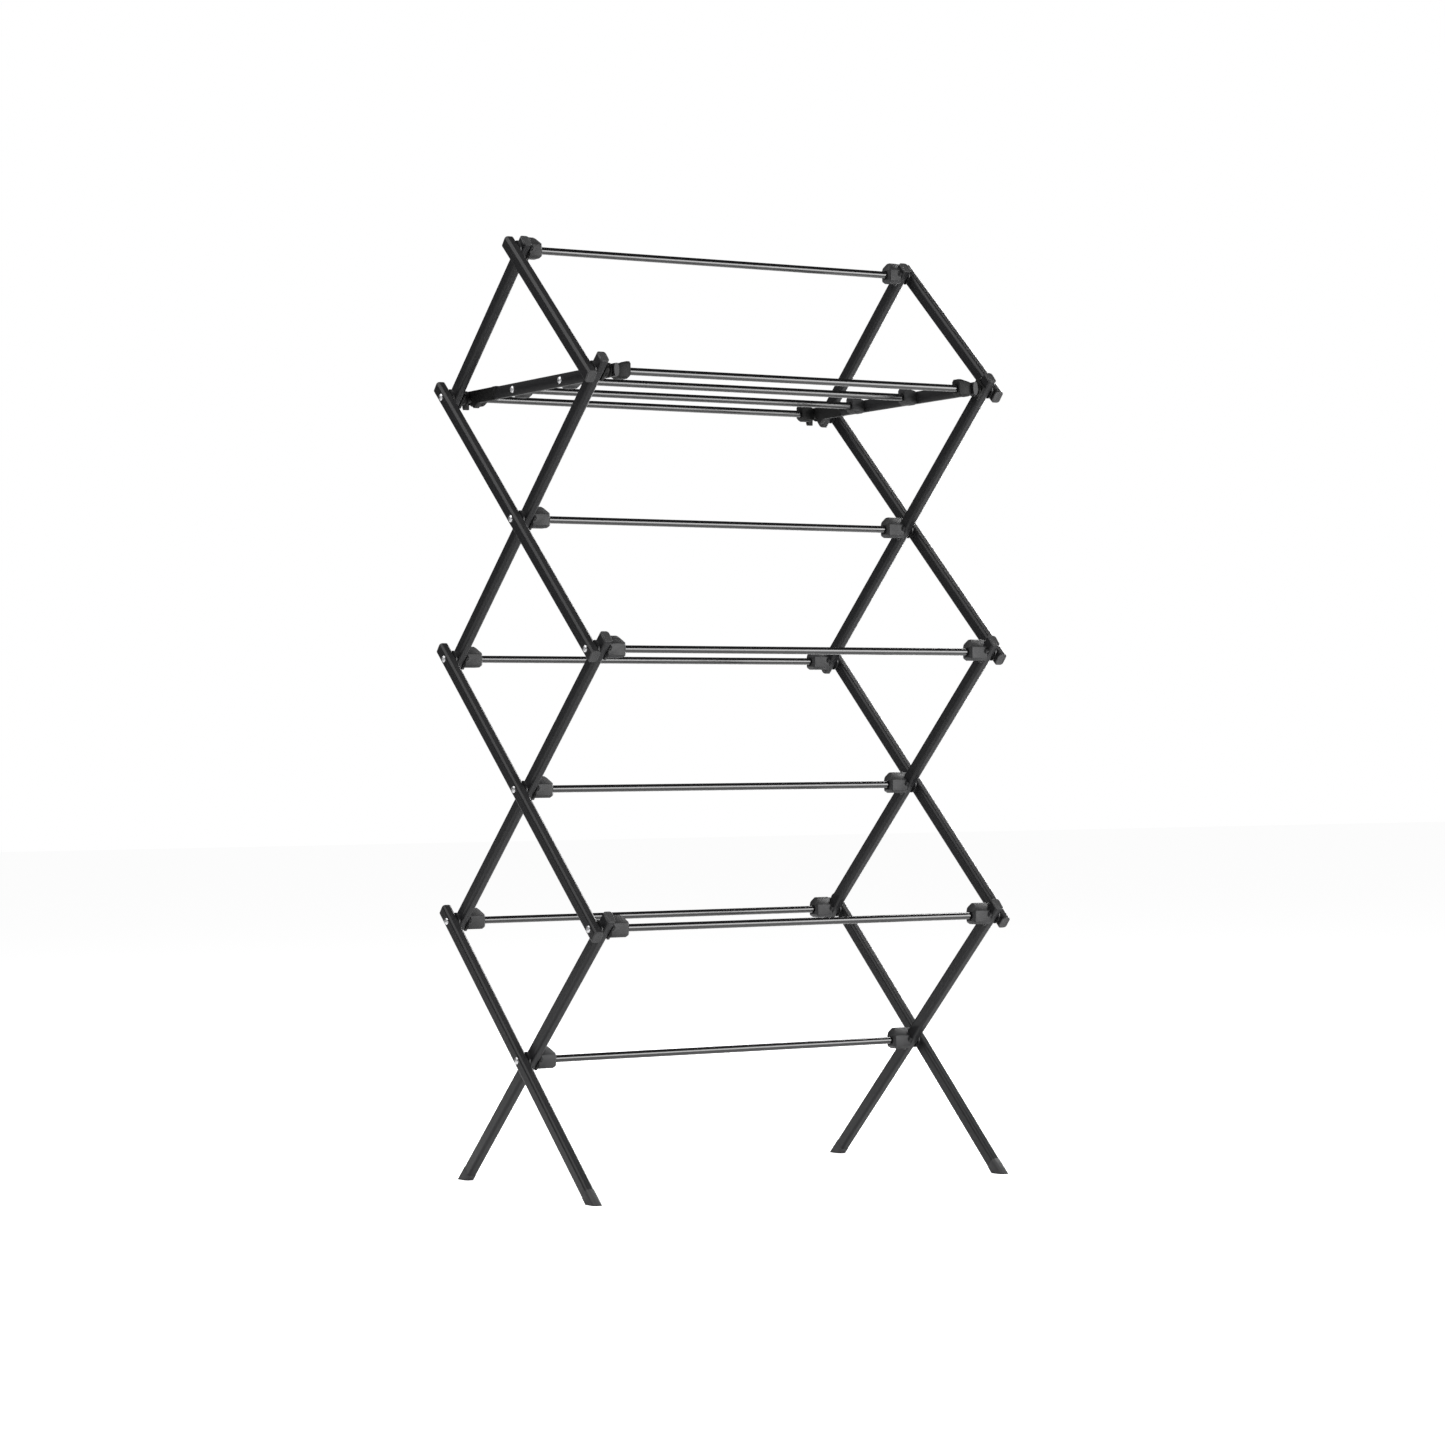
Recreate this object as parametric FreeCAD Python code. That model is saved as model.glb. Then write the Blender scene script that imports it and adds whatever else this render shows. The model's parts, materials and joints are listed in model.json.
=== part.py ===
"""Folding clothes drying rack: two scissor lattices joined by twelve round rods, with a hinged rod shelf.

Origin: centre of the footprint, on the floor. +Z up, front is -Y, rods run along X.
Every fitting is drawn on the +X side; the -X side is its mirror image.
"""
import FreeCAD, Part
import math
import os

V = FreeCAD.Vector
os.makedirs("parts", exist_ok=True)

# Driving dimensions of the open rack, mm
CELL = 405.0             # height of one scissor cell
DEPTH = 446.0            # front pivot line to back pivot line
LOWEST_CROSSING = 196.5  # lowest crossing pivot above the floor
END = 18.0               # bar length past an end pivot
LONG_END = 26.0          # the same at the upper ends of bars 2 to 4

# Lattice bar section: a rounded rectangular tube
BAR_WIDTH = 20.5
BAR_THICK = 15.0
BAR_CORNER = 4.5
WALL = 0.6

# Stations along X, measured outwards from the middle plane
OUTER_FACE = 367.0       # outer faces of the outer bars
INNER_FACE = 335.0       # inner faces of the inner bars
OUTER_MID = OUTER_FACE - BAR_THICK / 2
INNER_MID = INNER_FACE + BAR_THICK / 2
CONNECTOR_END = 304.5    # where a lattice rod leaves its connector
TOP_CONNECTOR_END = 313.0
SHELF_OUT = 322.0        # outer face of the shelf's side bars
SHELF_IN = 313.0
SHELF_END = 291.0        # where a shelf rod leaves its connector

# Rods, screws and fits
ROD_R = 5.5
ROD_WALL = 0.8
SOCKET = 26.0            # rod length held inside a connector
SCREW_R = 3.0
HEAD_R = 5.4
HEAD_RISE = 2.4
RUNNING = 0.1            # radial clearance round a turning pin
SEAT = 0.05              # radial clearance of a fixed pin or socket
WASHER_R = 13.0

# Connectors, measured from the rod's axis
SPIGOT_R = ROD_R - ROD_WALL - SEAT
SADDLE_LIP = 3.2         # plastic that wraps round a bar's edge
SADDLE_HALF = 13.0
SADDLE_DEPTH = 4.0
SOCKET_FLOOR = 2.5       # plastic between a socket and the bar

# Connector outlines as (offset along Y, offset along Z) across the rod, and offsets from the rod side
CONNECTOR_END_VIEW = [(-12, -9), (-8, -13.2), (8, -13.2), (12, -9), (12, 13), (8, 19), (2, 19.5), (-3, 17),
                      (-12, 7.6)]
CONNECTOR_ROOF = (9.5, 7.0, 20.0)  # length, low height and high height of the slope towards the rod
CONNECTOR_CHIN = 5.0
CONNECTOR_CHEEK = 3.0

# Shelf
SHELF_HEIGHT = 20.0
SHELF_THICK = 8.4
SHELF_MID = (SHELF_OUT + SHELF_IN) / 2
JOURNAL_R = 7.5
HOOK_LENGTH = 86.0       # plastic hook end, measured forward from the back rod
HOOK_LIP = 8.0
HOOK_DROP = 17.0
HOOK_PLAY = 0.4
HOOK_SLANT = 34.0        # front wall of the hook's mouth, degrees from vertical

CAP = 1.6
CAP_INSERT = 11.0
FOOT_CAP = 4.0
FOOT_INSERT = 24.0

LEAN = math.degrees(math.atan2(DEPTH, CELL))
HALF_BAR = math.hypot(DEPTH, CELL) / 2


# Pivots of the lattice: name -> (Y, Z)
def pivot_table():
    table = {"top": (0.0, LOWEST_CROSSING + 3 * CELL)}
    for level in (1, 2, 3):
        crossing = LOWEST_CROSSING + (3 - level) * CELL
        table[f"cross_{level}"] = (0.0, crossing)
        table[f"front_{level}"] = (-DEPTH / 2, crossing + CELL / 2)
        table[f"back_{level}"] = (DEPTH / 2, crossing + CELL / 2)
    return table


PIVOT = pivot_table()
SHELF_Z = PIVOT["front_1"][1]
SHELF_RODS = {"shelf_rod_2": -DEPTH / 6, "shelf_rod_3": DEPTH / 6}

# Bars: family, number -> pivots from the upper end down; the fourth pair stands on the floor
BARS = {
    ("outer", 1): ("top", "front_1"),
    ("outer", 2): ("back_1", "cross_1", "front_2"),
    ("outer", 3): ("back_2", "cross_2", "front_3"),
    ("outer", 4): ("back_3", "cross_3"),
    ("inner", 1): ("top", "back_1"),
    ("inner", 2): ("front_1", "cross_1", "back_2"),
    ("inner", 3): ("front_2", "cross_2", "back_3"),
    ("inner", 4): ("front_3", "cross_3"),
}
HIDDEN_HEADS = ("top", "front_1")  # pins that stop inside the outer bar

# Lattice rods: pivot -> number of the inner bars that carry the rod's connectors
CARRIER = {"top": 1, "cross_1": 2, "back_2": 2, "front_2": 3, "cross_2": 3, "back_3": 3,
           "front_3": 4, "cross_3": 4}
HUB_CARRIER = {"back_1": 1, "front_1": 2}


# Small solids
def cylinder(radius, x0, x1, y, z):
    return Part.makeCylinder(radius, x1 - x0, V(x0, y, z), V(1, 0, 0))


def box(x0, x1, y0, y1, z0, z1):
    return Part.makeBox(x1 - x0, y1 - y0, z1 - z0, V(x0, y0, z0))


def polygon_face(points):
    return Part.Face(Part.makePolygon(points + points[:1]))


def lens_face(width, thick, edge, bow):
    """Flattened tube outline in the XY plane: X is the thickness, Y the width."""
    w = width / 2 - bow
    corners = [V(edge / 2, -w, 0), V(edge / 2, w, 0), V(-edge / 2, w, 0), V(-edge / 2, -w, 0)]
    middles = [V(thick / 2, 0, 0), V(0, width / 2, 0), V(-thick / 2, 0, 0), V(0, -width / 2, 0)]
    arcs = [Part.Arc(corners[i], middles[i], corners[(i + 1) % 4]).toShape() for i in range(4)]
    return Part.Face(Part.Wire(arcs))


def rounded_face(width, thick, corner):
    """Rounded rectangle in the XY plane: X is the thickness, Y the width."""
    x, y = thick / 2 - corner, width / 2 - corner
    arcs = []
    for quarter, (cx, cy) in enumerate([(x, y), (-x, y), (-x, -y), (x, -y)]):
        turns = [math.radians(90 * quarter + step) for step in (0, 45, 90)]
        arcs.append([V(cx + corner * math.cos(t), cy + corner * math.sin(t), 0) for t in turns])
    edges = []
    for arc, following in zip(arcs, arcs[1:] + arcs[:1]):
        edges.append(Part.Arc(*arc).toShape())
        edges.append(Part.makeLine(arc[2], following[0]))
    return Part.Face(Part.Wire(edges))


def bar_outline():
    return rounded_face(BAR_WIDTH, BAR_THICK, BAR_CORNER)


def bar_hollow(gap=0.0):
    inset = WALL + gap
    return rounded_face(BAR_WIDTH - 2 * inset, BAR_THICK - 2 * inset, BAR_CORNER - inset)


def along_bar(shape, family, x_mid, y, z):
    """Lean a shape drawn upright at the origin, then carry it to a pivot."""
    lean = -LEAN if family == "outer" else LEAN
    shape.rotate(V(0, 0, 0), V(1, 0, 0), lean)
    shape.translate(V(x_mid, y, z))
    return shape


def prism(face, z0, z1):
    solid = face.extrude(V(0, 0, z1 - z0))
    solid.translate(V(0, 0, z0))
    return solid


# Lattice bars and their end caps
def bar_span(key):
    """Lowest and highest point of a bar along its own axis, measured from its upper pivot."""
    pivots = BARS[key]
    high = LONG_END if key[1] > 1 else END
    if key[1] == 4:
        return -PIVOT[pivots[0]][1] / math.cos(math.radians(LEAN)) - BAR_WIDTH, high
    return -HALF_BAR * (len(pivots) - 1) - END, high


def place(key, shape):
    y, z = PIVOT[BARS[key][0]]
    x_mid = OUTER_MID if key[0] == "outer" else INNER_MID
    return along_bar(shape, key[0], x_mid, y, z)


def lattice_bar(key):
    low, high = bar_span(key)
    floor_cut = box(0, 500, -DEPTH, DEPTH, -100, FOOT_CAP)
    low_end = low if key[1] == 4 else low + CAP
    tube = prism(bar_outline(), low_end, high - CAP)
    tube = tube.cut(prism(bar_hollow(), low - 1, high + 1))
    tube = place(key, tube)
    if key[1] == 4:
        tube = tube.cut(floor_cut)
    for name in BARS[key]:
        y, z = PIVOT[name]
        stop = OUTER_FACE - 2.0 if name in HIDDEN_HEADS else OUTER_FACE + 1
        tube = tube.cut(cylinder(SCREW_R + RUNNING, INNER_FACE - 1, stop, y, z))
    return tube


def end_cap(key, at, direction):
    """Plug flush with the tube's end: a flat cap with a tongue inside the tube."""
    cap = prism(bar_outline(), min(at, at - direction * CAP), max(at, at - direction * CAP))
    root = at - direction * CAP
    tip = root - direction * CAP_INSERT
    tongue = prism(bar_hollow(SEAT), min(root, tip), max(root, tip))
    return place(key, cap.fuse(tongue))


def foot_cap(key):
    low, _ = bar_span(key)
    sole = place(key, prism(bar_outline(), low, 0)).common(box(0, 500, -DEPTH, DEPTH, 0, FOOT_CAP))
    tongue = place(key, prism(bar_hollow(SEAT), low, 0))
    return sole.fuse(tongue.common(box(0, 500, -DEPTH, DEPTH, FOOT_CAP, FOOT_INSERT)))


def end_caps(key):
    low, high = bar_span(key)
    lower = foot_cap(key) if key[1] == 4 else end_cap(key, low, -1)
    return [end_cap(key, high, 1), lower]


# Rods and their connectors
def rod(end, y, z):
    return cylinder(ROD_R, -end, end, y, z).cut(cylinder(ROD_R - ROD_WALL, -end - 1, end + 1, y, z))


def saddle(y, z):
    """Plate that hugs the inner bar's inner face and wraps its upper edge."""
    low, high = -BAR_WIDTH / 2, BAR_WIDTH / 2 + SADDLE_LIP
    plate = box(-BAR_THICK / 2 - SADDLE_DEPTH, 0, low, high, -SADDLE_HALF, SADDLE_HALF)
    plate = plate.cut(prism(bar_outline(), -2 * SADDLE_HALF, 2 * SADDLE_HALF))
    plate = plate.cut(box(-BAR_THICK / 2, 1, low - 1, 0, -2 * SADDLE_HALF, 2 * SADDLE_HALF))
    return along_bar(plate, "inner", INNER_MID, y, z)


def connector_block(x_rod, x_bar, y, z):
    """Block with an upright front and a roof that rises to the back, tapered on the rod side."""
    length = x_bar - x_rod
    roof, low, high = CONNECTOR_ROOF
    half = max(a for a, b in CONNECTOR_END_VIEW)
    base = min(b for a, b in CONNECTOR_END_VIEW)
    front_view = [(0, base + CONNECTOR_CHIN), (CONNECTOR_CHIN, base), (length, base), (length, high),
                  (roof, high), (0, low)]
    plan = [(0, CONNECTOR_CHEEK - half), (CONNECTOR_CHEEK, -half), (length, -half), (length, half),
            (CONNECTOR_CHEEK, half), (0, half - CONNECTOR_CHEEK)]
    block = polygon_face([V(x_rod, y + a, z + b) for a, b in CONNECTOR_END_VIEW]).extrude(V(length, 0, 0))
    side = polygon_face([V(x_rod + a, y - half, z + b) for a, b in front_view]).extrude(V(0, 2 * half, 0))
    top = polygon_face([V(x_rod + a, y + b, z + base) for a, b in plan]).extrude(V(0, 0, high - base))
    return block.common(side).common(top)


def socket_depth(x_rod, x_bar):
    return min(SOCKET, x_bar - x_rod - SOCKET_FLOOR)


def socket(shape, x_rod, x_bar, y, z):
    """Rod socket with a central spigot that takes the screw."""
    deep = x_rod + socket_depth(x_rod, x_bar)
    shape = shape.cut(cylinder(ROD_R + SEAT, x_rod - 1, deep, y, z))
    shape = shape.fuse(cylinder(SPIGOT_R, x_rod + 6, deep + 1, y, z))
    return shape.cut(cylinder(SCREW_R + SEAT, x_rod + 8, x_bar + 1, y, z))


def lattice_connector(x_rod, y, z):
    shape = connector_block(x_rod, INNER_FACE, y, z).fuse(saddle(y, z))
    return socket(shape, x_rod, INNER_FACE, y, z)


# Shelf hubs: a ribbed boss on the inner bar, a journal for the shelf bar or hook, then a collar
HUB_ROD_END = 328.0
HUB_BOSS_R = 9.0
HUB_RIB_R, HUB_RIB, HUB_RIB_PITCH = 11.0, 3.0, 6.0
WEDGE_HALF = 10.0        # half width of the shelf's connectors and collars
WEDGE_EDGE = 1.5
WEDGE_TOP, WEDGE_BASE = 14.0, -12.0


def hub(y, z):
    shape = cylinder(HUB_BOSS_R, SHELF_OUT + 0.3, INNER_FACE - 1, y, z)
    for rib in range(2):
        x = SHELF_OUT + 0.3 + HUB_RIB_PITCH * rib
        shape = shape.fuse(cylinder(HUB_RIB_R, x, x + HUB_RIB, y, z))
    shape = shape.fuse(saddle(y, z)).fuse(cylinder(JOURNAL_R, SHELF_IN - 0.3, SHELF_OUT + 1, y, z))
    shape = shape.cut(cylinder(ROD_R + SEAT, SHELF_IN - 1, HUB_ROD_END + SEAT, y, z))
    shape = shape.fuse(cylinder(SPIGOT_R, SHELF_OUT, HUB_ROD_END + 1, y, z))
    return shape.cut(cylinder(SCREW_R + SEAT, SHELF_OUT - 1, INNER_FACE + 1, y, z))


def wedge(x_bar, y, z):
    """Block that rises to a beak on the rod side and tapers away below it."""
    outline = [(SHELF_END, WEDGE_BASE / 2), (SHELF_END + 5, WEDGE_BASE), (x_bar - 3, WEDGE_BASE),
               (x_bar, WEDGE_BASE + 3), (x_bar, WEDGE_TOP - 6), (x_bar - 4, WEDGE_TOP - 4),
               (SHELF_END + 5, WEDGE_TOP), (SHELF_END, WEDGE_TOP)]
    face = polygon_face([V(a, y - WEDGE_HALF, z + b) for a, b in outline])
    block = face.extrude(V(0, 2 * WEDGE_HALF, 0))
    edges = [e for e in block.Edges if abs(e.Vertexes[0].Y - e.Vertexes[-1].Y) < 0.01]
    return block.makeChamfer(WEDGE_EDGE, edges)


def collar(y, z):
    x_bar = SHELF_IN - 0.3
    return wedge(x_bar, y, z).cut(cylinder(ROD_R + SEAT, SHELF_END - 1, SHELF_IN + 1, y, z))


def shelf_connector(y, z):
    return socket(wedge(SHELF_IN, y, z), SHELF_END, SHELF_IN, y, z)


# Pivot screws and the washers between the two layers of bars
def screw(x_tip, x_head, y, z, domed):
    shank = cylinder(SCREW_R, x_tip, x_head, y, z)
    if not domed:
        return shank
    ball_r = (HEAD_R ** 2 + HEAD_RISE ** 2) / (2 * HEAD_RISE)
    ball = Part.makeSphere(ball_r, V(x_head + HEAD_RISE - ball_r, y, z))
    head = ball.common(box(x_head, x_head + HEAD_RISE + 1, y - HEAD_R, y + HEAD_R, z - HEAD_R, z + HEAD_R))
    drive = cylinder(1.7, x_head + 1.2, x_head + HEAD_RISE + 1, y, z)
    return shank.fuse(head).cut(drive)


def pivot_screw(name):
    y, z = PIVOT[name]
    hidden = name in HIDDEN_HEADS
    x_head = OUTER_FACE - 2.6 if hidden else OUTER_FACE
    tips = {"top": TOP_CONNECTOR_END + 9, "front_1": SHELF_OUT + 1, "back_1": SHELF_OUT + 1}
    return screw(tips.get(name, CONNECTOR_END + 9), x_head, y, z, not hidden)


def washer(name):
    y, z = PIVOT[name]
    x0 = INNER_FACE + BAR_THICK
    ring = cylinder(WASHER_R, x0, OUTER_FACE - BAR_THICK, y, z)
    return ring.cut(cylinder(SCREW_R + SEAT, x0 - 1, OUTER_FACE, y, z))


# Hinged shelf
def shelf_bar():
    """Side bar from the front hinge to the hook end."""
    y0 = -DEPTH / 2 - 15
    y1 = DEPTH / 2 - HOOK_LENGTH
    outer = lens_face(SHELF_HEIGHT, SHELF_THICK, 5.0, 0.8)
    inner = lens_face(SHELF_HEIGHT - 2, SHELF_THICK - 2, 3.2, 0.8)
    tube = prism(outer, y0, y1).cut(prism(inner, y0 + 2, y1 + 1))
    tube.rotate(V(0, 0, 0), V(1, 0, 0), -90)
    tube.translate(V(SHELF_MID, 0, SHELF_Z))
    tube = tube.cut(cylinder(JOURNAL_R + RUNNING, SHELF_IN - 1, SHELF_OUT + 1, PIVOT["front_1"][0], SHELF_Z))
    for y in SHELF_RODS.values():
        tube = tube.cut(cylinder(SCREW_R + SEAT, SHELF_IN - 1, SHELF_OUT + 1, y, SHELF_Z))
    notch = box(SHELF_IN - 1, SHELF_OUT + 1, y1 - 5, y1 + 1, SHELF_Z + 3, SHELF_Z + 20)
    return tube.cut(notch)


def shelf_hook():
    """Plastic end with a mouth open downwards, which drops over the back hub's journal."""
    y_pin = DEPTH / 2
    y0 = y_pin - HOOK_LENGTH
    mouth = JOURNAL_R + HOOK_PLAY
    back = y_pin + mouth + HOOK_LIP
    slant = math.tan(math.radians(HOOK_SLANT))
    half = SHELF_HEIGHT / 2
    outline = [(y0, -half), (y_pin - 34, -half), (y_pin - 24, -HOOK_DROP), (back - 2, -HOOK_DROP),
               (back, -HOOK_DROP + 4), (back, half - 5), (back - 6, half), (y0, half)]
    x0 = SHELF_MID - SHELF_THICK / 2
    plate = polygon_face([V(x0, a, SHELF_Z + b) for a, b in outline]).extrude(V(SHELF_THICK, 0, 0))
    plate = plate.cut(cylinder(mouth, x0 - 1, x0 + SHELF_THICK + 1, y_pin, SHELF_Z))
    side = mouth * math.cos(math.radians(HOOK_SLANT))
    rise = mouth * math.sin(math.radians(HOOK_SLANT))
    drop = HOOK_DROP + 2
    throat = [(y_pin - side, rise), (y_pin + mouth, 0), (y_pin + mouth + 1, -drop),
              (y_pin - side - (drop + rise) * slant, -drop)]
    plate = plate.cut(polygon_face([V(x0 - 1, a, SHELF_Z + b) for a, b in throat])
                      .extrude(V(SHELF_THICK + 2, 0, 0)))
    recess = box(SHELF_OUT - 1.6, SHELF_OUT, y0 + 12, y_pin - 22, SHELF_Z - 5, SHELF_Z + 5)
    tongue = prism(lens_face(SHELF_HEIGHT - 2.2, SHELF_THICK - 2.2, 3.0, 0.8), y0 - 26, y0 + 0.5)
    tongue.rotate(V(0, 0, 0), V(1, 0, 0), -90)
    tongue.translate(V(SHELF_MID, 0, SHELF_Z))
    top = box(SHELF_IN, SHELF_OUT, y0 - 5, y0, SHELF_Z + 3, SHELF_Z + 20)
    return plate.cut(recess).fuse(tongue.cut(top))


# Export
def right_and_left(solids):
    return solids + [s.mirror(V(0, 0, 0), V(1, 0, 0)) for s in solids]


def save(name, solids):
    shape = solids[0] if len(solids) == 1 else Part.makeCompound(solids)
    shape.exportStep(f"parts/{name}.step")


def save_sides(name, solid):
    right, left = right_and_left([solid])
    save(f"{name}_right", [right])
    save(f"{name}_left", [left])


def main():
    for key in BARS:
        family, number = key
        save_sides(f"{family}_bar_{number}", lattice_bar(key))
        save(f"{family}_end_caps_{number}", right_and_left(end_caps(key)))

    for name in CARRIER:
        y, z = PIVOT[name]
        x_rod = TOP_CONNECTOR_END if name == "top" else CONNECTOR_END
        save(f"rod_{name}", [rod(x_rod + socket_depth(x_rod, INNER_FACE) - 0.2, y, z)])
        save(f"connectors_{name}", right_and_left([lattice_connector(x_rod, y, z)]))

    for name, title in (("front_1", "hinge"), ("back_1", "catch")):
        y, z = PIVOT[name]
        save(f"rod_shelf_{title}", [rod(HUB_ROD_END - 0.2, y, z)])
        save(f"shelf_{title}_hubs", right_and_left([hub(y, z), collar(y, z)]))

    carriers = {**CARRIER, **HUB_CARRIER}
    for number in (1, 2, 3, 4):
        names = [n for n in carriers if carriers[n] == number]
        save(f"pivot_screws_{number}", right_and_left([pivot_screw(n) for n in names]))
        save(f"pivot_washers_{number}", right_and_left([washer(n) for n in names]))

    for name, y in SHELF_RODS.items():
        save(name, [rod(SHELF_END + socket_depth(SHELF_END, SHELF_IN) - 0.2, y, SHELF_Z)])
    save("shelf_connectors", right_and_left([shelf_connector(y, SHELF_Z) for y in SHELF_RODS.values()]))
    save("shelf_screws", right_and_left([screw(SHELF_END + 9, SHELF_MID + SHELF_THICK / 2, y, SHELF_Z, True)
                                         for y in SHELF_RODS.values()]))
    save_sides("shelf_bar", shelf_bar())
    save("shelf_hooks", right_and_left([shelf_hook()]))


main()
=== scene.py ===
# %% [markdown]
# # A folding clothes drying rack
# The rack's bars, rods and joints come in as a fixed frame. This notebook gives that frame its finishes,
# models the moulded and turned small parts that people see up close, and lights the result like a
# catalogue picture. Everything is in metres, in the frame's own axes: X along the rods, Z up, front at -Y.

# %% Load the frame
import json
import math

import bpy
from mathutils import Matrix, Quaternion, Vector


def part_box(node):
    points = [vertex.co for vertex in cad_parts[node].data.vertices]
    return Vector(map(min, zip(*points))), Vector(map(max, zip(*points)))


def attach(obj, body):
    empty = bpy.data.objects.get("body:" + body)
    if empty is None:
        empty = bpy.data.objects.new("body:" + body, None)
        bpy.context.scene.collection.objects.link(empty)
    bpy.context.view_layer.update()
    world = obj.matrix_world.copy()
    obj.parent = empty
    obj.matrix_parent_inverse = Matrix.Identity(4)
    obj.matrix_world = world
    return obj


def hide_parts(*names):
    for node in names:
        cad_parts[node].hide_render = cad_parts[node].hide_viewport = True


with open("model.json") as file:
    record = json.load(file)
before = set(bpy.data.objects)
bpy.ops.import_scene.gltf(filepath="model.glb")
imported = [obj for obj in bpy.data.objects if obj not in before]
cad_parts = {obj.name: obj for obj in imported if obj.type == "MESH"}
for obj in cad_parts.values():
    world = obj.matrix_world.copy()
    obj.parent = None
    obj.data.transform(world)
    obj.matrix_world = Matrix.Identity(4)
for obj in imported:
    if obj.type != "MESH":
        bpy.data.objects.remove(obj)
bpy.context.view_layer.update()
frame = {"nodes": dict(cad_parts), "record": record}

# %% [markdown]
# ## Camera
# The rack is seen from its front left corner, a little below its middle, with a long lens that keeps the
# upright bars nearly parallel. A wide lens from close by would frame it too, but would stretch the near
# lattice, so the distance and the lens are set together.

# %% Camera
VIEW_AZIMUTH = math.radians(-31.38)
VIEW_DISTANCE = 5.895
LENS_HEIGHT = 0.612
AIM_HEIGHT = 0.7007
VIEW_ROLL = -0.012

camera_data = bpy.data.cameras.new("camera")
camera_data.lens = 95.1
camera_data.sensor_width = 36.0
camera = bpy.data.objects.new("camera", camera_data)
bpy.context.scene.collection.objects.link(camera)
camera.location = (VIEW_DISTANCE * math.sin(VIEW_AZIMUTH), -VIEW_DISTANCE * math.cos(VIEW_AZIMUTH),
                   LENS_HEIGHT)
gaze = Vector((0, 0, AIM_HEIGHT)) - camera.location
camera.rotation_mode = "QUATERNION"
camera.rotation_quaternion = gaze.to_track_quat("-Z", "Y") @ Quaternion((0, 0, 1), VIEW_ROLL)
bpy.context.scene.camera = camera

# %% [markdown]
# ## Floor and light
# A catalogue picture of a black object needs a white sweep around it, so that the outline reads. The sweep
# could be a curved backdrop, but that shows its end in other views, so the floor simply fades to the same
# white as the sky. Gloss black shows only what it reflects: a soft box at the front right lays the grey
# stripe along the rods, a wide one above lights the upper facets of the mouldings, and a tall strip at the
# back right catches the bars' rounded edges.

# %% Floor
WHITE = (1.0, 1.0, 1.0, 1.0)
FLOOR_TONE = (0.92, 0.92, 0.92, 1.0)
FLOOR_GLOW = 0.66

floor_material = bpy.data.materials.new("white_sweep")
floor_material.use_nodes = True
nodes, links = floor_material.node_tree.nodes, floor_material.node_tree.links
sweep = nodes["Principled BSDF"]
sweep.inputs["Base Color"].default_value = FLOOR_TONE
sweep.inputs["Roughness"].default_value = 0.9
sweep.inputs["Specular IOR Level"].default_value = 0.0
sweep.inputs["Emission Color"].default_value = WHITE
ray = nodes.new("ShaderNodeLightPath")
glow = nodes.new("ShaderNodeMath")
glow.operation = "MULTIPLY"
glow.inputs[1].default_value = FLOOR_GLOW
links.new(ray.outputs["Is Camera Ray"], glow.inputs[0])
links.new(glow.outputs["Value"], sweep.inputs["Emission Strength"])

bpy.ops.object.select_all(action="DESELECT")
bpy.ops.mesh.primitive_plane_add(size=60)
floor = bpy.context.active_object
floor.name = "floor"
floor.data.materials.append(floor_material)


# %% Lamps
def soft_lamp(name, place, aim, size, power):
    data = bpy.data.lights.new(name, "AREA")
    data.shape = "RECTANGLE"
    data.size, data.size_y = size
    data.energy = power
    lamp = bpy.data.objects.new(name, data)
    bpy.context.scene.collection.objects.link(lamp)
    lamp.location = place
    lamp.rotation_euler = (Vector(aim) - Vector(place)).to_track_quat("-Z", "Y").to_euler()
    lamp.visible_camera = False
    return lamp


soft_lamp("lamp_above", (-1.7, 0.5, 3.4), (0, 0, 0.7), (3.6, 4.0), 110)
soft_lamp("lamp_front_right", (1.9, -3.15, 1.1), (0, 0, 0.75), (2.4, 2.2), 125)
soft_lamp("lamp_back_right", (2.8, 1.5, 1.6), (0, 0, 0.8), (0.7, 3.4), 120)

# %% Sky
SKY_ON_SURFACES = 0.34
SKY_IN_GLOSS = 0.02

world = bpy.data.worlds.new("studio")
world.use_nodes = True
bpy.context.scene.world = world
nodes, links = world.node_tree.nodes, world.node_tree.links
sky = nodes["Background"]
sky.inputs["Color"].default_value = WHITE
ray = nodes.new("ShaderNodeLightPath")
for_gloss = nodes.new("ShaderNodeMapRange")
for_gloss.inputs["To Min"].default_value = SKY_ON_SURFACES
for_gloss.inputs["To Max"].default_value = SKY_IN_GLOSS
links.new(ray.outputs["Is Glossy Ray"], for_gloss.inputs["Value"])
for_camera = nodes.new("ShaderNodeMath")
for_camera.operation = "MAXIMUM"
links.new(ray.outputs["Is Camera Ray"], for_camera.inputs[0])
links.new(for_gloss.outputs["Result"], for_camera.inputs[1])
links.new(for_camera.outputs["Value"], sky.inputs["Strength"])
bpy.context.scene.view_settings.view_transform = "Standard"

# %% [markdown]
# ## Shared effects
# Powder coat, wet paint, moulded plastic and steel all break up the light in two ways: a fine relief that is
# the same everywhere, and slow changes of tone and gloss where hands and handling have been. Upward faces are
# also painted a lighter tone, a painted light from above. Each could be drawn anew in every material. Two
# node
# groups are clearer: one gives the relief, the other the tone and the painted top light, and every material
# sets its own sizes.

# %% Group helpers
def new_group(name, inputs, outputs):
    group = bpy.data.node_groups.new(name, "ShaderNodeTree")
    for label, value in inputs:
        socket = group.interface.new_socket(label, in_out="INPUT", socket_type="NodeSocketFloat")
        socket.default_value = value
    for label in outputs:
        group.interface.new_socket(label, in_out="OUTPUT", socket_type="NodeSocketFloat")
    return group, group.nodes.new("NodeGroupInput"), group.nodes.new("NodeGroupOutput")


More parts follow.
